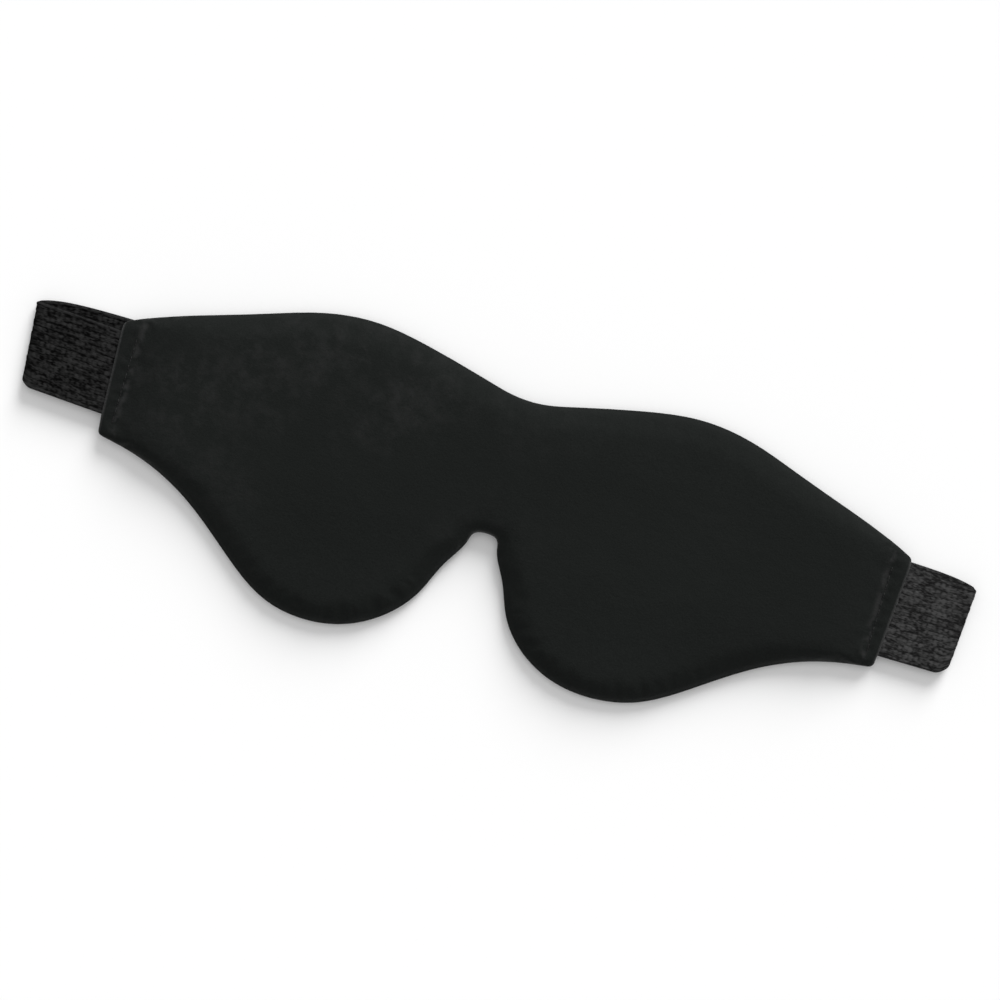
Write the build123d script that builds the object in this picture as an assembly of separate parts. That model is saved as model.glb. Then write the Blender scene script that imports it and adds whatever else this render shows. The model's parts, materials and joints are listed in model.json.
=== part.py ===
from build123d import *
import os

# A padded eye mask that covers both eyes, lying face up on its folded elastic strap.
# Millimetres. +X runs to the mask's right end as seen from the front, +Y to the forehead,
# +Z out of the front face. The origin is on the resting plane, under the nose bridge.

# --- Mask outline: the right half, mirrored for the left ---
END_X = 110.0            # half of the mask's length, at mid height of its straight end
END_HALF_HEIGHT = 15.5   # half of the straight end's height
END_FLARE = 0.9          # the end leans out by this much at its top corner
END_CORNER_R = 1.0       # rounding of the end's two corners
TOP_EDGE = [             # from over the nose, past the brow, to the end's top corner
    (0, 26.5),
    (12, 28.5),
    (30, 32.8),
    (46, 35.0),
    (60, 33.4),
    (76, 28.3),
    (100, 20.2),
    (END_X + END_FLARE, END_HALF_HEIGHT),
]
BOTTOM_EDGE = [          # from the end's bottom corner, round the cheek lobe, to the nose notch
    (END_X - END_FLARE, -END_HALF_HEIGHT),
    (96, -18.2),
    (80, -25.4),
    (64, -37.0),
    (52, -44.2),
    (41, -46.4),
    (29, -44.8),
    (19, -39.3),
    (12, -30.9),
    (8, -21.8),
    (4, -14.0),
    (0, -11.0),
]
TOP_END_SLOPE = (10, -5)       # direction of the top edge where it meets the end
BOTTOM_END_SLOPE = (-10, -1.5)  # direction of the bottom edge where it leaves the end

# --- Layers, from the resting plane up ---
STRAP_THICK = 1.3
STRAP_GAP = 0.3          # between the folded strap and the lining above it
LINING_THICK = 0.8
FOAM_THICK = 2.5
FRONT_THICK = 1.0
CLEAR = 0.05             # between layers that only touch
LINING_Z = STRAP_THICK + STRAP_GAP
CORE_Z = LINING_Z + LINING_THICK
FRONT_Z = CORE_Z + FOAM_THICK
TOP_Z = FRONT_Z + FRONT_THICK
ALLOWANCE = 5.0          # turned-in seam allowance of the front panel, a rim round the foam
FRONT_ROLL = 0.8         # rounding of the front panel's outer edge
LINING_ROLL = 0.5        # rounding of the lining's outer edge

# --- Elastic strap ---
STRAP_WIDTH = 24.0
STRAP_Y = 1.0            # height of the strap's centre line on the mask
STRAP_LOW_Y = STRAP_Y - STRAP_WIDTH / 2
STRAP_HIGH_Y = STRAP_Y + STRAP_WIDTH / 2
SEAM_X = 111.0           # where the strap leaves the mask and starts to swing
SEWN_LENGTH = 12.5       # strap that is sewn in between front panel and lining
LEAD_Z = CORE_Z + 0.1    # underside of the strap where it leaves the mask
FOLD_REACH = {"left": 134.0, "right": 129.5}  # outermost point of each fold
MIDDLE_HALF = 24.0       # half length of the flat middle of the strap
SPLIT_X = 12.0           # where the closed loop is opened, inside the flat middle
SPLIT_GAP = 2.1          # clearance between the two loose ends there
BACK_LINKS = 5           # links from each fold to the flat middle
LINK_GAP = 0.2           # gap between two neighbouring links
FOLD_OUTER_R = (LEAD_Z + STRAP_THICK) / 2
FOLD_INNER_R = FOLD_OUTER_R - STRAP_THICK

# --- Thread ---
THREAD_R = 0.2
END_SEAM_INSET = 4.0     # row of stitches, in from each straight end
END_SEAM_HALF = 12.0
END_STITCHES = 9
EDGE_THREAD_R = 0.25
EDGE_SEAM_INSET = 2.5    # hidden seam that joins front panel and lining
EDGE_STITCHES = 150
EDGE_STITCH_SHARE = 0.7  # share of the pitch that each stitch fills


def outline():
    """The mask's full outline as a face on the XY plane."""
    top = Spline(TOP_EDGE, tangents=[(1, 0), TOP_END_SLOPE])
    end = Line(TOP_EDGE[-1], BOTTOM_EDGE[0])
    bottom = Spline(BOTTOM_EDGE, tangents=[BOTTOM_END_SLOPE, (-1, 0)])
    half = Curve() + [top, end, bottom]
    face = make_face(half + mirror(half, about=Plane.YZ))
    return fillet(face.vertices(), END_CORNER_R)


def inset(face, distance):
    """The outline moved inwards by a distance."""
    return make_face(face.face().outer_wire().offset_2d(-distance).to_splines())


def slab(face, low, high):
    """The face extruded from height low to height high."""
    return Pos(0, 0, low) * extrude(face, amount=high - low)


def sign(side):
    """+1 on the right, -1 on the left."""
    return 1 if side == "right" else -1


def block(x_span, y_span, z_span):
    """A box from its low and high limits on each axis."""
    spans = [sorted(span) for span in (x_span, y_span, z_span)]
    size = [high - low for low, high in spans]
    centre = [(high + low) / 2 for low, high in spans]
    return Pos(*centre) * Box(*size)


def strap_link(side, x_near, x_far, low):
    """A flat stretch of strap on one side, between two distances from the middle."""
    x_span = (sign(side) * x_near, sign(side) * x_far)
    return block(x_span, (STRAP_LOW_Y, STRAP_HIGH_Y), (low, low + STRAP_THICK))


def front_panel(full):
    """Outer panel with its turned-in rim, hollow for the foam and open for the strap ends."""
    panel = slab(full, CORE_Z, TOP_Z)
    panel = fillet(panel.edges().group_by(Axis.Z)[-1], FRONT_ROLL)
    panel -= slab(inset(full, ALLOWANCE), CORE_Z, FRONT_Z)
    y_span = (STRAP_LOW_Y - CLEAR, STRAP_HIGH_Y + CLEAR)
    z_span = (CORE_Z, LEAD_Z + STRAP_THICK + CLEAR)
    for side in ("left", "right"):
        x_span = (sign(side) * (SEAM_X - SEWN_LENGTH - 1), sign(side) * (SEAM_X + 1))
        panel -= block(x_span, y_span, z_span)
    return panel


def lining_panel(full):
    """Skin-side panel."""
    panel = slab(full, LINING_Z, CORE_Z - CLEAR)
    return fillet(panel.edges().group_by(Axis.Z)[0], LINING_ROLL)


def foam_core(full):
    """Foam sheet between the panels, cut short of the sewn strap ends."""
    foam = slab(inset(full, ALLOWANCE + CLEAR), CORE_Z, FRONT_Z - CLEAR)
    reach = SEAM_X - SEWN_LENGTH - 1
    return foam & block((-reach, reach), (-END_X, END_X), (0, TOP_Z))


def fold_axis_x(side):
    """Distance from the middle to the axis of a fold."""
    return FOLD_REACH[side] - FOLD_OUTER_R


def fold(side):
    """Half ring of strap that joins the lead to the run behind the mask."""
    ring = Cylinder(FOLD_OUTER_R, STRAP_WIDTH) - Cylinder(FOLD_INNER_R, STRAP_WIDTH)
    ring = Pos(sign(side) * fold_axis_x(side), STRAP_Y, FOLD_OUTER_R) * Rot(90, 0, 0) * ring
    start = fold_axis_x(side) + LINK_GAP / 2
    x_span = (sign(side) * start, sign(side) * (start + FOLD_OUTER_R))
    return ring & block(x_span, (STRAP_LOW_Y, STRAP_HIGH_Y), (0, 2 * FOLD_OUTER_R))


def back_hinge_x(side):
    """Distances from the middle of the hinge lines behind the mask, from fold to middle."""
    start = fold_axis_x(side)
    step = (start - MIDDLE_HALF) / BACK_LINKS
    return [start - step * i for i in range(BACK_LINKS + 1)]


def strap(side):
    """Every stretch of the strap on one side, by name, from its sewn end to its middle."""
    gap = LINK_GAP / 2
    hinges = back_hinge_x(side)
    links = {
        "sewn_end": strap_link(side, SEAM_X - SEWN_LENGTH, SEAM_X - gap, LEAD_Z),
        "lead": strap_link(side, SEAM_X + gap, hinges[0] - gap, LEAD_Z),
        "fold": fold(side),
    }
    for i in range(BACK_LINKS):
        links[f"back_{i + 1}"] = strap_link(side, hinges[i] - gap, hinges[i + 1] + gap, 0)
    split = sign(side) * SPLIT_X + SPLIT_GAP / 2
    links["middle"] = strap_link(side, MIDDLE_HALF - gap, split, 0)
    return {f"elastic_{side}_{name}": solid for name, solid in links.items()}


def rod(start, finish, radius):
    """A round rod between two points."""
    direction = Vector(*finish) - Vector(*start)
    return extrude(Plane(origin=start, z_dir=direction) * Circle(radius), amount=direction.length)


def end_stitching(side):
    """One row of lock stitches through front panel, strap end and lining."""
    x = sign(side) * (END_X - END_SEAM_INSET)
    surfaces = (LINING_Z, TOP_Z)
    pitch = 2 * END_SEAM_HALF / END_STITCHES
    rows = [-END_SEAM_HALF + pitch * i for i in range(END_STITCHES + 1)]
    shapes = [rod((x, y, LINING_Z), (x, y, TOP_Z), THREAD_R) for y in rows]
    shapes += [Pos(x, y, z) * Sphere(THREAD_R) for y in rows for z in surfaces]
    shapes += [rod((x, rows[0], z), (x, rows[-1], z), THREAD_R) for z in surfaces]
    return shapes[0].fuse(*shapes[1:])


def edge_seam(full):
    """Hidden stitches that join the front panel's rim to the lining, all round."""
    path = inset(full, EDGE_SEAM_INSET).face().outer_wire()
    stitches = []
    for i in range(EDGE_STITCHES):
        ends = [path @ ((i + share) / EDGE_STITCHES) for share in (0, EDGE_STITCH_SHARE)]
        beside_strap = max(abs(end.Y - STRAP_Y) for end in ends) < STRAP_WIDTH / 2 + 2
        if beside_strap and abs(ends[0].X) > SEAM_X - SEWN_LENGTH:
            continue
        stitches.append(rod(*[(end.X, end.Y, CORE_Z) for end in ends], EDGE_THREAD_R))
    return Compound(stitches)


def build():
    """All nodes of the mask, by name."""
    full = outline()
    nodes = {
        "front_panel": front_panel(full),
        "foam_core": foam_core(full),
        "lining_panel": lining_panel(full),
        "edge_seam_thread": edge_seam(full),
        "left_end_stitching": end_stitching("left"),
        "right_end_stitching": end_stitching("right"),
    }
    nodes.update(strap("left"))
    nodes.update(strap("right"))
    return nodes


os.makedirs("parts", exist_ok=True)
for name, shape in build().items():
    export_step(shape, f"parts/{name}.step")
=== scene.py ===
import json
import math

import bmesh
import bpy
import numpy as np
from mathutils import Matrix, Vector
from mathutils.bvhtree import BVHTree
from mathutils.geometry import delaunay_2d_cdt


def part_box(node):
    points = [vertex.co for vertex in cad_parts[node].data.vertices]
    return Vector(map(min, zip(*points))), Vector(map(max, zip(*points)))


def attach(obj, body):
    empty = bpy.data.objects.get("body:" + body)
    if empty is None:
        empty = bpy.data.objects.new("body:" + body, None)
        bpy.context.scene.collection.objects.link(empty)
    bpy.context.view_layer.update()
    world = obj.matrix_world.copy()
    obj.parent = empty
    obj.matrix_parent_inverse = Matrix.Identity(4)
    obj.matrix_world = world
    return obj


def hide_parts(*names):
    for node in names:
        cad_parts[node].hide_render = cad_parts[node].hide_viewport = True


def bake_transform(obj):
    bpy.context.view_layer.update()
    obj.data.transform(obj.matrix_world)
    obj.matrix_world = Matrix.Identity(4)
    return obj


# The looks of a padded eye mask that lies face up on its folded elastic strap. Lengths are in metres.
MM = 0.001
SIDES = {"left": -1, "right": 1}

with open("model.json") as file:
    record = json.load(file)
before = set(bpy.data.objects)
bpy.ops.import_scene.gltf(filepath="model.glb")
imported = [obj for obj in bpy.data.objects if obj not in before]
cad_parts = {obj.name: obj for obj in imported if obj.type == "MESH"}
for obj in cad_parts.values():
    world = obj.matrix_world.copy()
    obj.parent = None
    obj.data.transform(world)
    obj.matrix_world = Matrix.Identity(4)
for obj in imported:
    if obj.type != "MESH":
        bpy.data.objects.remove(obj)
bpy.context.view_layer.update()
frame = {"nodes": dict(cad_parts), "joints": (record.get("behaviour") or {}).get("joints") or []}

# --- Places and sizes from the CAD frame ---
LINING_LOW, LINING_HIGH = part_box("lining_panel")
PANEL_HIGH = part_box("front_panel")[1]
FOAM_LOW, FOAM_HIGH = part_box("foam_core")
SEWN_LOW, SEWN_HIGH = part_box("elastic_right_sewn_end")
SEAM_Z = LINING_HIGH.z
STRAP_Y = (SEWN_LOW.y + SEWN_HIGH.y) / 2
STRAP_HALF = (SEWN_HIGH.y - SEWN_LOW.y) / 2
STRAP_THICK = SEWN_HIGH.z - SEWN_LOW.z
ROW_LOW, ROW_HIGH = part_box("right_end_stitching")
ROW_X = (ROW_LOW.x + ROW_HIGH.x) / 2     # the rows of end stitches, from the middle
JOINT_AT = {joint["name"]: Vector(joint["pos_m"]) for joint in frame["joints"]}

# --- Mask ---
END_FLARE = 0.9 * MM       # its straight ends lean out by this much
END_LEAN = END_FLARE / (15.5 * MM)  # over half of their height
END_X = PANEL_HIGH.x - END_FLARE    # half of its length at mid height
EDGE_STEP = 1.1 * MM       # spacing of points along the outline
GRID_STEP = 1.9 * MM       # spacing of points inside it
FRONT_ROLL = 3.2 * MM      # width of the front panel's rolled edge
LINING_ROLL = 1.2 * MM
FRONT_CLOTH = 0.7 * MM     # cloth thickness
LINING_CLOTH = 0.45 * MM
SEAM_INSET = 0.45 * MM     # how far the seam is pulled in under the rolled edges
WALL_SHARE = 0.3           # the rolled edge ends at this share of the height over the seam,
WALL_RINGS = [             # and goes on down to the seam in rings: share of what is left, inset
    (0.55, -0.03 * MM),
    (0.2, 0.1 * MM),
    (0.0, SEAM_INSET),
]
END_HEIGHT = 5.0 * MM      # height of the front where the foam has stopped
END_SPAN = (95 * MM, 103 * MM)  # from here to here the height drops to it
GAPE_FADE = 1.6 * MM       # the seam opens round the strap over this length
ROW_HALF_WIDTH = 2.4 * MM  # half width of the valley along a row of stitches
ROW_DEPTH = 0.8 * MM
PUCKER = 0.22 * MM         # height of the puckers beside it
EDGE_PUCKER = 0.09 * MM    # and of those along the mask's seam
STITCH_PITCH = 2.4 * MM
STITCH_R = 0.17 * MM
STITCH_SLANT = 0.12 * MM   # the end stitches lean by this much along their length
EDGE_SEAM_INSET = 2.5 * MM  # the hidden seam, in from the outline
EDGE_STITCH_POINTS = 10    # points along one pitch of that seam
EDGE_STITCH_SHARE = 0.7    # share of the pitch that a stitch fills
LEAN = 1.95 * MM           # the cheek lobes lie this far to the left,
LEAN_DEPTH = 15 * MM       # reached about this far below the middle,
TWIST = 0.024              # and the left one a little lower,
TWIST_DEPTH = 40 * MM      # reached this far below the middle
SAG = 0.8 * MM             # lobes and brow droop beside the strap they lie on,
SAG_REACH = 22 * MM        # this far out from it
PUFF = {"front": 1.1 * MM, "lining": 0.25 * MM}  # the furthest that the padding pushes the cloth out
SIM_SCALE = 20             # the cloth is simulated this much larger, where Cloth is stable
SIM_FRAMES = 20

# --- Strap ---
RIBS = 12
SELVEDGE = 1.1 * MM
RIB_DEPTH = 0.24 * MM
CORD = {"left": 0.95, "right": 0.5}  # height of the cord inside each selvedge, as a share of RIB_DEPTH
KNIT_PITCH = 1.5 * MM      # length of one loop along a rib
ACROSS_PER_RIB = 5
ALONG_STEP = KNIT_PITCH / 6
LOW_CORNER = {"left": 2.2 * MM, "right": 3.4 * MM}   # rounded corners of each fold
HIGH_CORNER = {"left": 0.2 * MM, "right": 0.6 * MM}
EASE = {"left": -0.4 * MM, "right": 0.4 * MM}    # the strap's half width gains this near the mask's ends
FOLD_SKEW = {"left": 0.10, "right": 0.055}       # the strap is folded a little askew
LEAD_Y = {"left": 0.0, "right": -0.8 * MM}  # centre lines, from the CAD strap's: at the mask,
FOLD_Y = {"left": 1.6 * MM, "right": -0.6 * MM}   # at the fold
BACK_Y = {"left": 4.2 * MM, "right": 1.4 * MM}   # and under the mask's ends
MIDDLE_Y = 2.6 * MM
BACK_DRIFT = 6 * MM        # the back layer drifts to its line over about this length
SKEW_REACH = 18 * MM       # the skew of the fold is felt this far from it
MIDDLE_REACH = 90 * MM     # the back layer comes to its middle line over this length

# --- Stage ---
SKY_LEVEL = 0.505          # brightness that the sky gives a white floor
FLOOR_HALF = 20.0
CAMERA_TILT = math.radians(16.78)  # the mask's left end is the higher one in the picture
CAMERA_LENS = 100          # in millimetres
CAMERA_FIELD = 269.6 * MM  # width of the picture at the height of the seam
CAMERA_SHIFT = Vector((-0.5 * MM, -1.2 * MM))


def smooth(t):
    """Smooth step from 0 at t = 0 to 1 at t = 1."""
    t = np.clip(t, 0.0, 1.0)
    return t * t * (3 - 2 * t)


# ---------------------------------------------------------------- materials

def material(name):
    """A new node material, as (material, node tree, its Principled shader)."""
    made = bpy.data.materials.new(name)
    made.use_nodes = True
    tree = made.node_tree
    return made, tree, tree.nodes["Principled BSDF"]


def node(tree, kind, inputs=None, **settings):
    """Adds a shader node. An input is a value, or another node's output socket to link."""
    made = tree.nodes.new("ShaderNode" + kind)
    for key, value in settings.items():
        setattr(made, key, value)
    for key, value in (inputs or {}).items():
        if isinstance(value, bpy.types.NodeSocket):
            tree.links.new(value, made.inputs[key])
        else:
            made.inputs[key].default_value = value
    return made


def maths(tree, operation, a, b=0.5):
    """A Math node's output."""
    return node(tree, "Math", {0: a, 1: b}, operation=operation).outputs[0]


def ramp(tree, value, low, high, start=0.0, stop=1.0):
    """Maps value from low..high to start..stop, clamped."""
    inputs = {"Value": value, "From Min": low, "From Max": high, "To Min": start, "To Max": stop}
    return node(tree, "MapRange", inputs).outputs["Result"]


def blend_colour(tree, factor, a, b):
    """Colour a at factor 0, b at factor 1."""
    made = node(tree, "Mix", data_type="RGBA")
    for socket, value in ((made.inputs[0], factor), (made.inputs[6], a), (made.inputs[7], b)):
        if isinstance(value, bpy.types.NodeSocket):
            tree.links.new(value, socket)
        else:
            socket.default_value = value
    return made.outputs[2]


def grey(value, tint=(1.0, 1.0, 1.0)):
    return (value * tint[0], value * tint[1], value * tint[2], 1.0)


def noise(tree, coords, size, detail=2.0, roughness=0.5):
    """Noise whose features are about size across."""
    inputs = {"Vector": coords, "Scale": 1 / size, "Detail": detail, "Roughness": roughness}
    return node(tree, "TexNoise", inputs).outputs["Fac"]


def bump(tree, shader, *layers):
    """Stacks bumps of (height socket, depth in metres) on a shader."""
    normal = None
    for height, depth in layers:
        inputs = {"Height": height, "Distance": depth, "Strength": 1.0}
        if normal is not None:
            inputs["Normal"] = normal
        normal = node(tree, "Bump", inputs).outputs["Normal"]
    tree.links.new(normal, shader.inputs["Normal"])


def suede():
    """Matte black brushed cloth: cloudy nap, pale flecks where the nap is roughed up, fine fibres. The
    flecks are painted sheen of that nap, thickest over the brow of the left lobe; along the rows of end
    stitches they are a painted highlight on the puckers. The left end is a little darker, and the edge at
    each end shows a pale line of painted highlight."""
    made, tree, shader = material("suede")
    coords = node(tree, "TexCoord").outputs["Object"]
    place = node(tree, "SeparateXYZ", {0: coords}).outputs
    from_middle = maths(tree, "ABSOLUTE", place["X"])
    clouds = noise(tree, coords, 34 * MM, 3.0)
    flecks = noise(tree, coords, 4.5 * MM, 4.0, 0.65)
    fibres = noise(tree, coords, 0.5 * MM, 3.0, 0.7)
    left = maths(tree, "MULTIPLY", ramp(tree, place["X"], 25 * MM, -25 * MM, 0.12, 1.0),
                 ramp(tree, place["Y"], -30 * MM, 5 * MM, 0.25, 1.0))
    patches = maths(tree, "MULTIPLY", ramp(tree, clouds, 0.42, 0.62), ramp(tree, flecks, 0.44, 0.68))
    # painted highlight: broken pale lines on the pucker ridges beside each row of end stitches
    off_row = maths(tree, "ABSOLUTE", maths(tree, "SUBTRACT", from_middle, ROW_X - 0.9 * MM))
    row_highlight = maths(tree, "MULTIPLY", ramp(tree, off_row, 1.6 * MM, 0.2 * MM),
                      ramp(tree, noise(tree, coords, 2.6 * MM, 2.0), 0.42, 0.6))
    # roughed-up nap, with its sheen painted in as pale flecks, then joined with the painted row highlight
    ruffled_sheen = maths(tree, "MULTIPLY", maths(tree, "MULTIPLY", patches, left), 0.62)
    ruffled_sheen = maths(tree, "MAXIMUM", ruffled_sheen, row_highlight)
    tint = (0.87, 1.02, 0.94)
    plain = blend_colour(tree, ramp(tree, clouds, 0.3, 0.7), grey(0.0068, tint), grey(0.0078, tint))
    left_end = ramp(tree, place["X"], -88 * MM, -106 * MM, 0.0, 0.3)
    plain = blend_colour(tree, left_end, plain, grey(0.003, tint))
    nap = blend_colour(tree, maths(tree, "MULTIPLY", ruffled_sheen, 0.75), plain, grey(0.021))
    worn = blend_colour(tree, ramp(tree, fibres, 0.35, 0.75, 0.0, 0.22), nap, grey(0.022, tint))
    from_end = maths(tree, "SUBTRACT", from_middle, maths(tree, "MULTIPLY", place["Y"], END_LEAN))
    # painted highlight: a pale line along the rolled edge at each end
    end_highlight = maths(tree, "MULTIPLY", ramp(tree, from_end, END_X - 0.75 * MM, END_X - 0.25 * MM),
                   ramp(tree, fibres, 0.3, 0.6, 0.35, 1.0))
    tree.links.new(blend_colour(tree, maths(tree, "MULTIPLY", end_highlight, 0.7), worn, grey(0.05)),
                   shader.inputs["Base Color"])
    shader.inputs["Roughness"].default_value = 0.95
    shader.inputs["Specular IOR Level"].default_value = 0.12
    shader.inputs["Sheen Weight"].default_value = 0.09
    shader.inputs["Sheen Roughness"].default_value = 0.35
    bump(tree, shader, (fibres, 0.12 * MM), (flecks, 0.25 * MM))
    return made


def lining_cloth():
    """Smooth black knit on the skin side: fine wales with soft sheen."""
    made, tree, shader = material("lining")
    coords = node(tree, "TexCoord").outputs["Object"]
    wales = node(tree, "TexWave", {"Vector": coords, "Scale": 1 / (2.2 * MM), "Distortion": 0.6,
                                   "Detail Scale": 2.0}, bands_direction="Y").outputs["Fac"]
    loops = node(tree, "TexWave", {"Vector": coords, "Scale": 1 / (3.4 * MM), "Distortion": 0.8,
                                   "Detail Scale": 2.0}, bands_direction="X").outputs["Fac"]
    clouds = noise(tree, coords, 30 * MM, 3.0)
    knit = maths(tree, "MULTIPLY", wales, loops)
    base = blend_colour(tree, ramp(tree, clouds, 0.3, 0.7), grey(0.007), grey(0.0105))
    tree.links.new(blend_colour(tree, ramp(tree, knit, 0.1, 0.9, 0.0, 0.5), base, grey(0.017)),
                   shader.inputs["Base Color"])
    shader.inputs["Roughness"].default_value = 0.8
    shader.inputs["Specular IOR Level"].default_value = 0.2
    shader.inputs["Sheen Weight"].default_value = 0.08
    bump(tree, shader, (knit, 0.12 * MM), (noise(tree, coords, 0.4 * MM), 0.05 * MM))
    return made


def foam_material():
    """Dark grey open-cell foam."""
    made, tree, shader = material("foam")
    coords = node(tree, "TexCoord").outputs["Object"]
    cells = node(tree, "TexVoronoi", {"Vector": coords, "Scale": 1 / (0.7 * MM)}).outputs["Distance"]
    tree.links.new(blend_colour(tree, cells, grey(0.02), grey(0.09)), shader.inputs["Base Color"])
    shader.inputs["Roughness"].default_value = 0.95
    bump(tree, shader, (cells, 0.4 * MM))
    return made


def elastic():
    """Ribbed black elastic, whose right half is painted lighter: painted light, standing for light that
    falls more on the right strap. The mesh carries where each point lies on the weave and how high it
    stands, and the colour is painted darker in the grooves and lighter on the crests: painted shade and
    painted highlight."""
    made, tree, shader = material("elastic")
    weave = node(tree, "Attribute", attribute_name="weave").outputs["Vector"]
    height = node(tree, "Attribute", attribute_name="height").outputs["Fac"]
    along = node(tree, "SeparateXYZ", {0: weave}).outputs["X"]
    stretch = {0: weave, 1: (0.42, 1.5, 1.0)}
    stretched = node(tree, "VectorMath", stretch, operation="MULTIPLY").outputs["Vector"]
    yarn = noise(tree, stretched, 0.45 * MM, 2.0, 0.6)
    dashes = noise(tree, stretched, 0.55 * MM, 1.0)
    patches = noise(tree, weave, 6 * MM, 2.0)
    # painted light: the right half of the strap gets lighter colours than the left
    right = ramp(tree, along, -0.02, 0.02)
    dashed = ramp(tree, dashes, 0.3, 0.7, -0.3, 0.4)
    # painted shade in the grooves and painted highlight on the crests, from the height; the dashes and
    # patches are the weave's own tone
    light = maths(tree, "ADD", maths(tree, "MULTIPLY", height, 0.95), dashed)
    light = maths(tree, "ADD", light, ramp(tree, patches, 0.35, 0.65, -0.1, 0.1))
    low = blend_colour(tree, right, grey(0.0012), grey(0.008))
    high = blend_colour(tree, right, grey(0.023), grey(0.052))
    base = blend_colour(tree, ramp(tree, light, 0.3, 1.0), low, high)
    tree.links.new(blend_colour(tree, ramp(tree, yarn, 0.5, 0.75, 0.0, 0.4), base, high),
                   shader.inputs["Base Color"])
    shader.inputs["Roughness"].default_value = 0.7
    shader.inputs["Specular IOR Level"].default_value = 0.02
    bump(tree, shader, (yarn, 0.1 * MM))
    return made


def thread_material():
    """Twisted black polyester thread."""
    made, tree, shader = material("thread")
    coords = node(tree, "TexCoord").outputs["Object"]
    ply = node(tree, "TexWave", {"Vector": coords, "Scale": 1 / (1.2 * MM)},
               bands_direction="DIAGONAL").outputs["Fac"]
    tree.links.new(blend_colour(tree, ply, grey(0.004), grey(0.011)), shader.inputs["Base Color"])
    shader.inputs["Roughness"].default_value = 0.6
    shader.inputs["Specular IOR Level"].default_value = 0.2
    bump(tree, shader, (ply, 0.05 * MM))
    return made


def floor_material():
    """White paper, which only the camera sees, and only from above, so that the part's underside can be
    lit and looked at."""
    made, tree, shader = material("floor")
    shader.inputs["Base Color"].default_value = grey(0.9)
    shader.inputs["Roughness"].default_value = 1.0
    shader.inputs["Specular IOR Level"].default_value = 0.0
    above = maths(tree, "SUBTRACT", 1.0, node(tree, "NewGeometry").outputs["Backfacing"])
    seen = maths(tree, "MULTIPLY", above, node(tree, "LightPath").outputs["Is Camera Ray"])
    clear = node(tree, "BsdfTransparent").outputs[0]
    mixed = node(tree, "MixShader", {0: seen, 1: clear, 2: shader.outputs[0]})
    tree.links.new(mixed.outputs[0], tree.nodes["Material Output"].inputs["Surface"])
    return made


# ---------------------------------------------------------------- mesh helpers

def make_object(name, points, faces, finish, slot=None):
    """A smooth-shaded mesh object at the origin with one material."""
    mesh = bpy.data.meshes.new(name)
    mesh.from_pydata([tuple(p) for p in points], [], faces)
    mesh.validate()
    mesh.polygons.foreach_set("use_smooth", [True] * len(mesh.polygons))
    mesh.materials.append(finish)
    made = bpy.data.objects.new(name, mesh)
    bpy.context.scene.collection.objects.link(made)
    return made


def apply_modifiers(target):
    """Bakes an object's modifiers into its mesh."""
    graph = bpy.context.evaluated_depsgraph_get()
    baked = bpy.data.meshes.new_from_object(target.evaluated_get(graph))
    target.modifiers.clear()
    target.data = baked


def cad_outline(node_name):
    """A CAD panel's outline, as the boundary of its upper face, in order and anticlockwise."""
    mesh = frame["nodes"][node_name].data
    grain = 0.001 * MM  # corners closer than this are the same one

    def key(index):
        return tuple(round(c / grain) for c in mesh.vertices[index].co.xy)

    following = {}
    for polygon in mesh.polygons:
        if polygon.normal.z < 0.99:
            continue
        corners = [key(i) for i in polygon.vertices]
        for a, b in zip(corners, corners[1:] + corners[:1]):
            if following.get(b) and a in following[b]:
                following[b].remove(a)
            else:
                following.setdefault(a, []).append(b)
    start = max(k for k, after in following.items() if after)
    loop, here = [start], following[start][0]
    while here != start:
        loop.append(here)
        here = following[here][0]
    return np.array(loop, float) * grain


def resample(loop, step):
    """Points at an even spacing round a closed loop."""
    closed = np.vstack([loop, loop[:1]])
    run = np.concatenate([[0], np.cumsum(np.linalg.norm(np.diff(closed, axis=0), axis=1))])
    count = int(run[-1] / step)
    at = np.arange(count) * run[-1] / count
    return np.column_stack([np.interp(at, run, closed[:, axis]) for axis in (0, 1)])


def outward(loop):
    """Unit normals that point out of an anticlockwise loop."""
    along = np.roll(loop, -1, axis=0) - np.roll(loop, 1, axis=0)
    along /= np.linalg.norm(along, axis=1)[:, None]
    return np.column_stack([along[:, 1], -along[:, 0]])


def ring_faces(rows, size):
    """Quads between neighbouring rows of points, each row a closed ring of size points."""
    faces = []
    for row in range(rows - 1):
        for i in range(size):
            j = (i + 1) % size
            faces.append((row * size + i, row * size + j, (row + 1) * size + j, (row + 1) * size + i))
    return faces


def edge_distance(points, loop):
    """Distance from each point to a closed loop."""
    a, b = loop, np.roll(loop, -1, axis=0)
    ab = b - a
    best = np.full(len(points), np.inf)
    for start, span in zip(a, ab):
        t = np.clip(((points - start) @ span) / (span @ span), 0, 1)
        best = np.minimum(best, np.linalg.norm(points - start - t[:, None] * span, axis=1))
    return best


def inside(points, loop):
    """Whether each point lies inside a closed loop."""
    x, y = points[:, 0], points[:, 1]
    result = np.zeros(len(points), bool)
    for (x0, y0), (x1, y1) in zip(loop, np.roll(loop, -1, axis=0)):
        crosses = (y0 > y) != (y1 > y)
        with np.errstate(divide="ignore", invalid="ignore"):
            at = x0 + (y - y0) / (y1 - y0) * (x1 - x0)
        result ^= crosses & (x < at)
    return result


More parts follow.
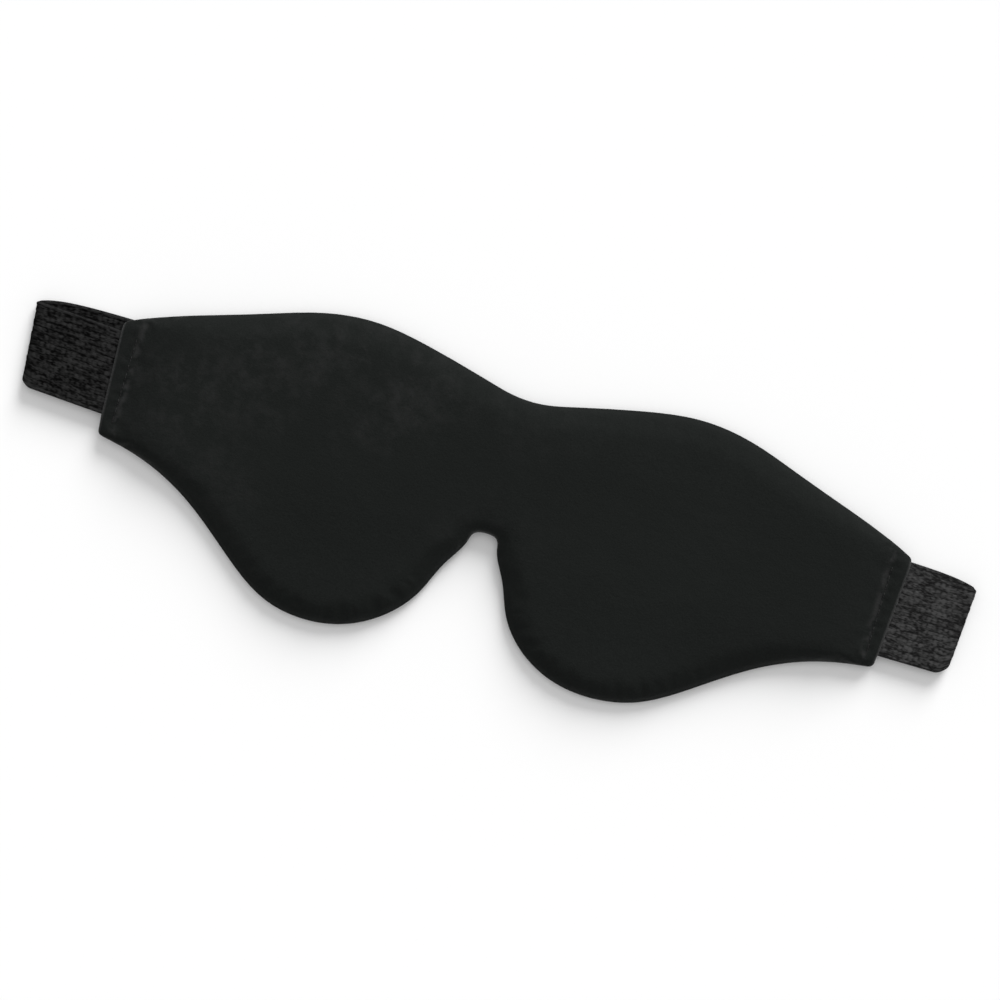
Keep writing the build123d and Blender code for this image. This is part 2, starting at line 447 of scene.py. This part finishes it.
def fill_outline(loop, insets, step):
    """Triangulates a loop with rings at the given insets and an even grid further in.
    Returns points, their distance from the loop, and triangles. The loop's own points come first."""
    rings = [loop]
    normals = outward(loop)
    for inset in insets:
        ring = loop - normals * inset
        rings.append(ring[edge_distance(ring, loop) > inset * 0.97])
    low, high = loop.min(axis=0), loop.max(axis=0)
    grid = []
    rows = int((high[1] - low[1]) / (step * math.sqrt(0.75)))
    for row in range(rows + 1):
        y = low[1] + row * step * math.sqrt(0.75)
        xs = np.arange(low[0] + (row % 2) * step / 2, high[0], step)
        grid.append(np.column_stack([xs, np.full(len(xs), y)]))
    grid = np.vstack(grid)
    grid = grid[inside(grid, loop)]
    grid = grid[edge_distance(grid, loop) > max(insets, default=0) + 0.6 * step]
    points = np.vstack(rings + [grid])
    # scaled up, because the triangulation compares distances with fixed tolerances
    scaled = [Vector(p) for p in points / MM]
    border = list(range(len(loop)))
    made = delaunay_2d_cdt(scaled, [], [border], 1, 1e-4)
    points = np.array([tuple(v) for v in made[0]]) * MM
    distance = edge_distance(points, loop)
    distance[: len(loop)] = 0.0
    return points, distance, [tuple(face) for face in made[2]]


# ---------------------------------------------------------------- the mask's shape

def strap_side(points):
    """1 beside the strap's ends, 0 elsewhere: where the seam opens to let the strap out."""
    beyond = smooth((np.abs(points[:, 0]) - 0.965 * LINING_HIGH.x) / (0.01 * LINING_HIGH.x))
    across = np.abs(points[:, 1] - STRAP_Y)
    return beyond * smooth((STRAP_HALF + GAPE_FADE - across) / GAPE_FADE)


def row_valley(points):
    """1 along the rows of end stitches, 0 away from them, deeper at each needle hole."""
    across = np.abs(np.abs(points[:, 0]) - ROW_X) / ROW_HALF_WIDTH
    along = smooth((ROW_HIGH.y + 1.5 * MM - np.abs(points[:, 1])) / (2 * MM))
    holes = 0.5 + 0.5 * np.cos(2 * np.pi * points[:, 1] / STITCH_PITCH)
    near = np.exp(-(across / 0.55) ** 2)
    tight = np.exp(-(across / 0.22) ** 2)
    return along * (near * 0.8 + tight * holes * 0.35)


def row_pucker(points):
    """Small uneven puckers that run away from the rows of end stitches."""
    beside = np.abs(np.abs(points[:, 0]) - ROW_X) / MM
    fade = np.exp(-((beside - 1.2) / 1.6) ** 2)
    side = 7.0 * np.sign(points[:, 0])
    y = points[:, 1] / MM
    return fade * (np.sin(1.9 * y + side) + 0.7 * np.sin(3.1 * y - 0.4 * beside + 2 * side)) / 1.7


def edge_pucker(points, distance):
    """Faint ripples across the mask's seam that fade out over its rolled edge."""
    fade = np.exp(-(distance / (2.2 * MM)) ** 2)
    turn = np.arctan2(points[:, 1] + 8 * MM, points[:, 0]) * 110
    wave = np.sin(turn + 3 * np.sin(turn / 7)) + 0.5 * np.sin(1.73 * turn)
    return fade * wave / 1.5


def front_height(points):
    """Height of the front over the foam, dropping towards the ends where the foam has stopped."""
    start, stop = END_SPAN
    thin = smooth((np.abs(points[:, 0]) - start) / (stop - start))
    flat = PANEL_HIGH.z + (END_HEIGHT - PANEL_HIGH.z) * thin
    return flat - ROW_DEPTH * row_valley(points) + PUCKER * row_pucker(points)


def lay(points):
    """Moves points of the mask from their flat pattern to how it lies: lobes askew, edges drooping."""
    laid = np.array(points, float)
    low = np.clip(-laid[:, 1] / TWIST_DEPTH, 0, 1.2)
    fade = 1 - np.clip(laid[:, 0] / LINING_HIGH.x, -1, 1) ** 2
    beside = smooth((np.abs(laid[:, 1] - STRAP_Y) - STRAP_HALF) / SAG_REACH)
    laid[:, 0] -= LEAN * (1 - np.exp(np.clip(laid[:, 1], None, 0) / LEAN_DEPTH)) * fade
    laid[:, 1] += TWIST * points[:, 0] * low * fade
    laid[:, 2] -= SAG * beside
    return laid


def roll_insets(width, count):
    """Insets of the rings over a rolled edge, even in angle round a quarter turn."""
    return [width * (1 - math.cos(math.pi / 2 * i / count)) for i in range(1, count + 1)]


def shell(loop, roll, steps, seam_z, crown_z):
    """One side of the mask: a sheet over the outline that rolls over the edge and ends in the seam.
    seam_z and crown_z give the heights of the seam and of the flat part at any points."""
    points, distance, faces = fill_outline(loop, roll_insets(roll, steps), GRID_STEP)
    seam, crown = seam_z(points), crown_z(points)
    crown = crown + np.sign(crown - seam) * EDGE_PUCKER * edge_pucker(points, distance)
    wall = seam + WALL_SHARE * (crown - seam)
    reach = np.clip(distance / roll, 0, 1)
    rise = np.sqrt(np.clip(1 - (1 - reach) ** 2, 0, 1))
    sheet = np.column_stack([points, wall + (crown - wall) * rise])
    normals = outward(loop)
    border, count = len(loop), len(sheet)
    parts = [sheet]
    for share, inset in WALL_RINGS:
        ring = loop - normals * inset
        height = seam[:border] + share * (wall[:border] - seam[:border])
        parts.append(np.column_stack([ring, height]))
    above = list(range(border))
    for level in range(len(WALL_RINGS)):
        below = [count + level * border + i for i in range(border)]
        for i in range(border):
            j = (i + 1) % border
            faces.append((above[i], below[i], below[j], above[j]))
        above = below
    return np.vstack(parts), faces


def build_front(loop):
    """The front panel's outer surface, before it is simulated."""

    def seam(points):
        return SEAM_Z + (SEWN_HIGH.z + 0.1 * MM - SEAM_Z) * strap_side(points)

    return shell(loop, FRONT_ROLL, 6, seam, front_height)


def build_lining(loop):
    """The lining's outer surface, before it is simulated."""

    def seam(points):
        return np.full(len(points), SEAM_Z - 0.03 * MM)

    def crown(points):
        return LINING_LOW.z + 0.12 * MM * row_valley(points)

    return shell(loop, LINING_ROLL, 4, seam, crown)


def puff(target, held, most):
    """Blows the sheet up a little with Blender's cloth simulation, like cloth over soft padding.
    held has a weight of 1 for each point that is sewn down. No point moves further than most."""
    rest = np.array([v.co for v in target.data.vertices])
    target.data.transform(Matrix.Scale(SIM_SCALE, 4))
    group = target.vertex_groups.new(name="held")
    for index in np.flatnonzero(held > 0.01):
        group.add([int(index)], float(held[index]), "REPLACE")
    cloth = target.modifiers.new("cloth", "CLOTH")
    settings = cloth.settings
    settings.quality = 5
    settings.mass = 0.3
    settings.tension_stiffness = 12
    settings.compression_stiffness = 12
    settings.shear_stiffness = 4
    settings.bending_stiffness = 1.5
    settings.shrink_min = -0.012
    settings.use_pressure = True
    settings.uniform_pressure_force = 3.0
    settings.vertex_group_mass = "held"
    settings.effector_weights.gravity = 0
    cloth.collision_settings.use_collision = False
    cloth.point_cache.frame_end = SIM_FRAMES
    for step in range(1, SIM_FRAMES + 1):
        bpy.context.scene.frame_set(step)
    graph = bpy.context.evaluated_depsgraph_get()
    blown = np.array([v.co for v in target.evaluated_get(graph).data.vertices]) / SIM_SCALE
    target.modifiers.remove(cloth)
    target.vertex_groups.remove(group)
    bpy.context.scene.frame_set(1)
    moved = blown - rest
    length = np.linalg.norm(moved, axis=1)[:, None] + 1e-12
    moved *= most * np.tanh(length / most) / length
    target.data.vertices.foreach_set("co", (rest + moved).astype(np.float32).ravel())


def finish_cloth(target, thickness):
    """Lays the sheet as the mask lies, smooths it and thickens it on its inner side."""
    flat = np.array([v.co for v in target.data.vertices])
    target.data.vertices.foreach_set("co", lay(flat).astype(np.float32).ravel())
    target.modifiers.new("smooth", "SUBSURF").levels = 1
    solid = target.modifiers.new("cloth", "SOLIDIFY")
    solid.thickness = thickness
    solid.offset = -1
    apply_modifiers(target)


def held_down(points, seam_count):
    """1 where a sheet is sewn down, which is along the seam's last seam_count points and the rows of
    end stitches, 0 elsewhere."""
    beside = np.abs(np.abs(points[:, 0]) - ROW_X) / MM
    held = np.where(beside < 1.3, 1.0, 0.0) + np.where(np.abs(points[:, 0]) > ROW_X, 1.0, 0.0)
    held[-seam_count:] = 1
    return np.clip(held, 0, 1)


def make_mask():
    """Front panel, lining and foam. Returns the front's and the lining's search trees."""
    loop = resample(cad_outline("lining_panel"), EDGE_STEP)
    trees = []
    for name, build, finish, slot, node_name, thickness in (
        ("front", build_front, suede(), "suede", "front_panel", FRONT_CLOTH),
        ("lining", build_lining, lining_cloth(), "lining", "lining_panel", LINING_CLOTH),
    ):
        points, faces = build(loop)
        made = make_object(f"{name}_cloth", points, faces, finish, slot)
        face_away(made, up=(name == "front"))
        puff(made, held_down(points, len(WALL_RINGS) * len(loop)), PUFF[name])
        finish_cloth(made, thickness)
        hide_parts(node_name)
        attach(made, "mask")
        trees.append(BVHTree.FromObject(made, bpy.context.evaluated_depsgraph_get()))
    make_foam()
    return trees


def make_foam():
    """The foam pad between the two, with rounded edges."""
    loop = resample(cad_outline("foam_core"), 2 * EDGE_STEP)
    roll = 0.9 * MM
    points, distance, faces = fill_outline(loop, roll_insets(roll, 3), 3 * GRID_STEP)
    reach = np.clip(distance / roll, 0, 1)
    rise = np.sqrt(np.clip(1 - (1 - reach) ** 2, 0, 1))
    middle, half = (FOAM_LOW.z + FOAM_HIGH.z) / 2, (FOAM_HIGH.z - FOAM_LOW.z) / 2
    top = middle + half * (0.25 + 0.75 * rise)
    bottom = 2 * middle - top
    sheets = np.vstack([np.column_stack([points, top]), np.column_stack([points, bottom])])
    count, border = len(points), len(loop)
    faces = faces + [tuple(index + count for index in face[::-1]) for face in faces]
    for i in range(border):
        j = (i + 1) % border
        faces.append((i, count + i, count + j, j))
    made = make_object("foam_pad", lay(sheets), faces, foam_material(), "foam")
    face_away(made, up=True)
    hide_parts("foam_core")
    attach(made, "mask")


def face_away(target, up):
    """Makes every face of a sheet or a closed form point away from the mask's inside."""
    work = bmesh.new()
    work.from_mesh(target.data)
    bmesh.ops.recalc_face_normals(work, faces=work.faces)
    highest = max(work.faces, key=lambda face: face.calc_center_median().z * (1 if up else -1))
    if (highest.normal.z > 0) != up:
        bmesh.ops.reverse_faces(work, faces=work.faces)
    work.to_mesh(target.data)
    work.free()


def make_edge_stitches(finish):
    """The thread inside the turned-in edge: short straight stitches all round the mask."""
    loop = resample(cad_outline("lining_panel"), EDGE_STEP)
    ring = loop - outward(loop) * EDGE_SEAM_INSET
    ring = resample(ring[edge_distance(ring, loop) > 0.97 * EDGE_SEAM_INSET], 0.25 * EDGE_STEP)
    tubes = []
    for start in range(0, len(ring) - EDGE_STITCH_POINTS, EDGE_STITCH_POINTS):
        run = ring[start:start + int(EDGE_STITCH_SHARE * EDGE_STITCH_POINTS)]
        path = lay(np.column_stack([run, np.full(len(run), SEAM_Z)]))
        tubes.append(tube(path, STITCH_R))
    made = make_object("edge_seam_stitches", *join(tubes), finish, "thread")
    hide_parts("edge_seam_thread")
    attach(made, "mask")


# ---------------------------------------------------------------- the strap

def strap_path(side):
    """Measures of the strap's centre line on one side, from its sewn end to the split in its middle:
    a lead that runs outwards, a half turn round the fold, and a run back under the mask."""
    low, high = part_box(f"elastic_{side}_sewn_end")
    fold_at = abs(JOINT_AT[f"strap_{side}_bend_1"].x)
    lead_z = (low.z + high.z) / 2
    back_z = STRAP_THICK / 2
    radius = (lead_z - back_z) / 2
    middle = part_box(f"elastic_{side}_middle")
    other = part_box("elastic_right_middle" if side == "left" else "elastic_left_middle")
    split = (max(middle[0].x, other[0].x) + min(middle[1].x, other[1].x)) / 2
    inner = min(abs(low.x), abs(high.x))
    end_u = SIDES[side] * split
    lead = fold_at - inner
    turn = math.pi * radius
    total = lead + turn + fold_at - end_u
    return {"inner": inner, "fold": fold_at, "lead": lead, "turn": turn, "radius": radius,
            "lead_z": lead_z, "back_z": back_z, "total": total, "end": end_u}


def along_path(path, s):
    """At distances s along the strap: u, which is the distance from the mask's middle, z, and the
    direction of travel, from 0 for outwards to pi for back."""
    on_lead = s < path["lead"]
    on_back = s > path["lead"] + path["turn"]
    angle = np.clip((s - path["lead"]) / path["turn"], 0, 1) * math.pi
    u = path["fold"] + path["radius"] * np.sin(angle)
    z = path["back_z"] + path["radius"] * (1 + np.cos(angle))
    u = np.where(on_lead, path["inner"] + s, u)
    u = np.where(on_back, path["fold"] - (s - path["lead"] - path["turn"]), u)
    return u, z, angle


def rib_height(side, s, v):
    """Height of the weave, 0 to 1, at distance s from the strap's middle and v across it: ribs along
    the strap, with grooves that come and go and short loops that are staggered from rib to rib."""
    inner = STRAP_HALF - SELVEDGE
    across = (v + inner) / (2 * inner) * RIBS
    rib = np.floor(np.clip(across, 0, RIBS - 1e-6))
    groove = np.round(across)
    open_share = 0.55 + 0.45 * wander(s, groove, 2.6 * MM)
    crest = 1 - (1 - np.sqrt(np.abs(np.sin(np.pi * across)))) * open_share
    loop = 0.5 + 0.5 * np.cos(2 * np.pi * (s / KNIT_PITCH + 0.5 * (rib % 2)))
    worn = 0.75 + 0.25 * wander(s, rib + 0.37, 4.1 * MM)
    ribs = crest * worn * (0.62 + 0.38 * np.sqrt(loop))
    edge = np.clip((np.abs(v) - inner) / SELVEDGE, 0, 1)
    dashed = CORD[side] + 0.35 * wander(s, np.where(v > 0, 20, 30), 1.9 * MM)
    cord = dashed * np.sqrt(np.clip(np.sin(np.pi * edge), 0, 1))
    return np.where(np.abs(v) > inner, cord, ribs)


def wander(s, row, length):
    """Smooth values between -1 and 1 along a row of the weave, different for each row, and the same
    on both sides of s = 0."""
    turn = 2 * np.pi * s / length
    short = np.cos(turn * (1 + 0.21 * np.sin(5.1 * row)))
    medium = np.cos(0.62 * turn * (1 + 0.17 * np.cos(3.7 * row)))
    long = np.cos(0.41 * turn * (1 + 0.3 * np.sin(2.3 * row)))
    return (short + medium + long) / 3


def strap_points(side, path, s, v, face):
    """Points of the strap's surface. face is +1 for the outer side of the fold, -1 for the inner one,
    0 for the middle of the thickness."""
    mid_u, z, angle = along_path(path, s)
    height = rib_height(side, path["total"] - s, v)
    core = STRAP_THICK / 2 - RIB_DEPTH
    offset = face * (core + RIB_DEPTH * height)
    z = z + offset * np.cos(angle)
    # the fold's corners are rounded: the strap narrows as it nears its outermost line
    corner = np.where(v < 0, LOW_CORNER[side], HIGH_CORNER[side])
    near = np.clip((mid_u - (path["fold"] + path["radius"] - corner)) / corner, 0, 1)
    narrow = corner * (1 - np.sqrt(1 - near ** 2))
    middle = smooth((s - path["total"] + MIDDLE_REACH) / MIDDLE_REACH)
    across = v * (1 + (EASE[side] * (1 - middle) - narrow) / STRAP_HALF)
    # the fold is askew, and the back layer drifts away from the front one
    askew = smooth((mid_u - path["fold"] + SKEW_REACH) / SKEW_REACH)
    u = mid_u + offset * np.sin(angle) + askew * FOLD_SKEW[side] * across
    out = np.clip(s / path["lead"], 0, 1)
    back = 1 - np.exp(-np.clip(s - path["lead"] - path["turn"] / 2, 0, None) / BACK_DRIFT)
    y = LEAD_Y[side] + (FOLD_Y[side] - LEAD_Y[side]) * out
    y = y + (BACK_Y[side] - FOLD_Y[side]) * back + (MIDDLE_Y - BACK_Y[side]) * middle
    return np.stack([SIDES[side] * u, STRAP_Y + y + across, z], axis=-1), height


def strap_piece(name, side, path, start, stop, finish):
    """A closed length of strap between two distances along it."""
    rows = max(2, round((stop - start) / ALONG_STEP)) + 1
    s = np.linspace(start, stop, rows)
    inner = STRAP_HALF - SELVEDGE
    ribs = np.linspace(-inner, inner, RIBS * ACROSS_PER_RIB + 1)
    edge = np.linspace(inner, STRAP_HALF, 5)[1:-1]
    v = np.concatenate([-edge[::-1], ribs, edge])
    ring_v = np.concatenate([[-STRAP_HALF], v, [STRAP_HALF], v[::-1]])
    ring_face = np.concatenate([[0], np.ones(len(v)), [0], -np.ones(len(v))])
    grid_s, grid_v = np.meshgrid(s, ring_v, indexing="ij")
    grid_face = np.broadcast_to(ring_face, grid_s.shape)
    points, height = strap_points(side, path, grid_s, grid_v, grid_face)
    size = len(ring_v)
    faces = ring_faces(rows, size)
    # end caps as strips between the two faces of the strap
    half = len(v) + 1
    for row in (0, rows - 1):
        first = row * size
        for i in range(half):
            a, b = first + i, first + i + 1
            c, d = first + (size - i - 1) % size, first + (size - i) % size
            # the first and the last of them are triangles
            faces.append(tuple(dict.fromkeys((a, b, c, d))))
    made = make_object(name, points.reshape(-1, 3), faces, finish, "elastic")
    mesh = made.data
    weave = mesh.attributes.new("weave", "FLOAT_VECTOR", "POINT")
    signed = SIDES[side] * (path["total"] - grid_s)
    where = np.stack([signed, grid_v, grid_face * 3 * MM], axis=-1)
    weave.data.foreach_set("vector", where.astype(np.float32).ravel())
    mesh.attributes.new("height", "FLOAT", "POINT").data.foreach_set(
        "value", height.astype(np.float32).ravel())
    make_solid_shading(made, rows, size)
    return made


def make_solid_shading(target, rows, size):
    """Consistent normals, and a sharp edge round each end cap so that it doesn't shade the surface."""
    work = bmesh.new()
    work.from_mesh(target.data)
    bmesh.ops.recalc_face_normals(work, faces=work.faces)
    work.verts.ensure_lookup_table()
    for row in (0, rows - 1):
        for i in range(size):
            a = work.verts[row * size + i]
            b = work.verts[row * size + (i + 1) % size]
            edge = work.edges.get((a, b))
            if edge:
                edge.smooth = False
    work.to_mesh(target.data)
    work.free()


def snap(distance, total):
    """The nearest distance along the strap where the weave is level, so that a cut doesn't show."""
    return total - round((total - distance) / (KNIT_PITCH / 2)) * KNIT_PITCH / 2


def make_strap(side, finish):
    """The strap on one side, in pieces that are cut between its joints."""
    path = strap_path(side)
    seam_name = "strap_open" if side == "left" else "strap_right_seam_hinge"
    hinges = [seam_name] + [f"strap_{side}_bend_{i}" for i in range(1, 8)]
    fold_u, lead = path["fold"], path["lead"]
    seam_s = abs(JOINT_AT[seam_name].x) - path["inner"]
    back_start = lead + path["turn"]
    hinge_s = [back_start + fold_u - abs(JOINT_AT[name].x) for name in hinges[3:]]
    total = path["total"]
    cuts = [0.0, snap((seam_s + lead) / 2, total), lead + path["turn"] / 2]
    cuts += [snap((a + b) / 2, total) for a, b in zip([back_start] + hinge_s, hinge_s)]
    cuts += [total]
    links = ["lead", "fold"] + [f"back_{i}" for i in range(1, 6)] + ["middle"]
    for i, hinge in enumerate(hinges):
        name = f"strap_{side}_{'seam' if i == 0 else links[i]}_piece"
        made = strap_piece(name, side, path, cuts[i], cuts[i + 1], finish)
        if i == 0:
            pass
        elif i in (1, 2):
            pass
        else:
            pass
        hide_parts(f"elastic_{side}_{links[i]}")
        if i == 0:
            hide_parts(f"elastic_{side}_sewn_end")
        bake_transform(made)


# ---------------------------------------------------------------- thread

def tube(path, radius, sides=8):
    """Points and faces of a closed round tube along a path."""
    path = np.array(path, float)
    along = np.gradient(path, axis=0)
    along /= np.linalg.norm(along, axis=1)[:, None]
    aside = np.cross(along, np.array([0.31, 0.05, 0.95]))
    aside /= np.linalg.norm(aside, axis=1)[:, None]
    third = np.cross(along, aside)
    turn = (np.arange(sides) * 2 * math.pi / sides)[None, :, None]
    ring = np.cos(turn) * aside[:, None, :] + np.sin(turn) * third[:, None, :]
    points = (path[:, None, :] + radius * ring).reshape(-1, 3)
    faces = ring_faces(len(path), sides)
    last = (len(path) - 1) * sides
    faces.append(tuple(range(sides))[::-1])
    faces.append(tuple(last + i for i in range(sides)))
    return points, faces


def join(tubes):
    """Points and faces of several tubes as one mesh."""
    points, faces = [], []
    for more, more_faces in tubes:
        faces += [tuple(len(points) + k for k in face) for face in more_faces]
        points += list(more)
    return points, faces


def make_end_stitches(side, front_tree, lining_tree, finish):
    """A row of stitches on both sides of one end. Each stitch rises from one needle hole and dips
    into the next."""
    low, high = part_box(f"{side}_end_stitching")
    x = (low.x + high.x) / 2
    count = int((high.y - low.y) / STITCH_PITCH)
    tubes = []
    for tree, up in ((front_tree, 1), (lining_tree, -1)):
        for i in range(count):
            y0 = low.y + (high.y - low.y - count * STITCH_PITCH) / 2 + i * STITCH_PITCH
            path = []
            for t in np.linspace(0, 1, 9):
                y = y0 + t * STITCH_PITCH
                hit = tree.ray_cast(Vector((x, y, up * 50 * MM)), Vector((0, 0, -up)))[0]
                lift = (math.sqrt(abs(math.sin(math.pi * t))) - 0.85) * 2.2 * STITCH_R
                slant = SIDES[side] * STITCH_SLANT * (t - 0.5)
                path.append((x + slant, y, hit.z + up * lift))
            tubes.append(tube(path, STITCH_R))
    made = make_object(f"{side}_end_stitches", *join(tubes), finish, "thread")
    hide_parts(f"{side}_end_stitching")
    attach(made, "mask")


# ---------------------------------------------------------------- stage

def make_stage():
    """White floor and soft light from the upper right."""
    mesh = bpy.data.meshes.new("floor")
    corners = [(x * FLOOR_HALF, y * FLOOR_HALF, 0) for x, y in ((-1, -1), (1, -1), (1, 1), (-1, 1))]
    mesh.from_pydata(corners, [], [(0, 1, 2, 3)])
    mesh.materials.append(floor_material())
    floor = bpy.data.objects.new("floor", mesh)
    bpy.context.scene.collection.objects.link(floor)
    # the strap swings down below the mask as it opens, and the floor goes with the part it stands on
    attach(floor, "strap_left_middle")

    world = bpy.data.worlds.new("studio")
    bpy.context.scene.world = world
    world.use_nodes = True
    tree = world.node_tree
    sky = tree.nodes["Background"]
    sky.inputs["Color"].default_value = (1, 1, 1, 1)
    # what the camera sees past the floor is as white as the floor
    seen = node(tree, "LightPath").outputs["Is Camera Ray"]
    tree.links.new(ramp(tree, seen, 0, 1, SKY_LEVEL, 1.0), sky.inputs["Strength"])
    add_sun("overhead", azimuth=80, elevation=78, spread=45, level=0.14)
    add_sun("key", azimuth=80, elevation=26, spread=32, level=0.47)
    add_sun("below", azimuth=-60, elevation=-50, spread=60, level=0.45)


def add_sun(name, azimuth, elevation, spread, level):
    """A broad, even light from far away. Azimuth is anticlockwise from +X, spread is its angular width,
    and level is the brightness it gives a white floor."""
    data = bpy.data.lights.new(name, "SUN")
    a, e = math.radians(azimuth), math.radians(elevation)
    data.angle = math.radians(spread)
    data.energy = math.pi * level / abs(math.sin(e))
    made = bpy.data.objects.new(name, data)
    bpy.context.scene.collection.objects.link(made)
    direction = Vector((math.cos(a) * math.cos(e), math.sin(a) * math.cos(e), math.sin(e)))
    made.location = direction * 1.0
    made.rotation_euler = direction.to_track_quat("Z", "Y").to_euler()


def make_camera():
    """Looks straight down. The mask's long axis is tilted in the picture, its left end higher."""
    data = bpy.data.cameras.new("camera")
    data.lens = CAMERA_LENS
    distance = CAMERA_FIELD * data.lens / data.sensor_width
    made = bpy.data.objects.new("camera", data)
    bpy.context.scene.collection.objects.link(made)
    turned = Matrix.Rotation(CAMERA_TILT, 2) @ CAMERA_SHIFT
    made.location = (turned.x, turned.y, distance + SEAM_Z)
    made.rotation_euler = (0, 0, CAMERA_TILT)
    bpy.context.scene.camera = made


def main():
    front_tree, lining_tree = make_mask()
    strap_finish, thread_finish = elastic(), thread_material()
    for side in SIDES:
        make_strap(side, strap_finish)
        make_end_stitches(side, front_tree, lining_tree, thread_finish)
    make_edge_stitches(thread_finish)
    make_stage()
    make_camera()
    bpy.context.scene.view_settings.view_transform = "Standard"


main()
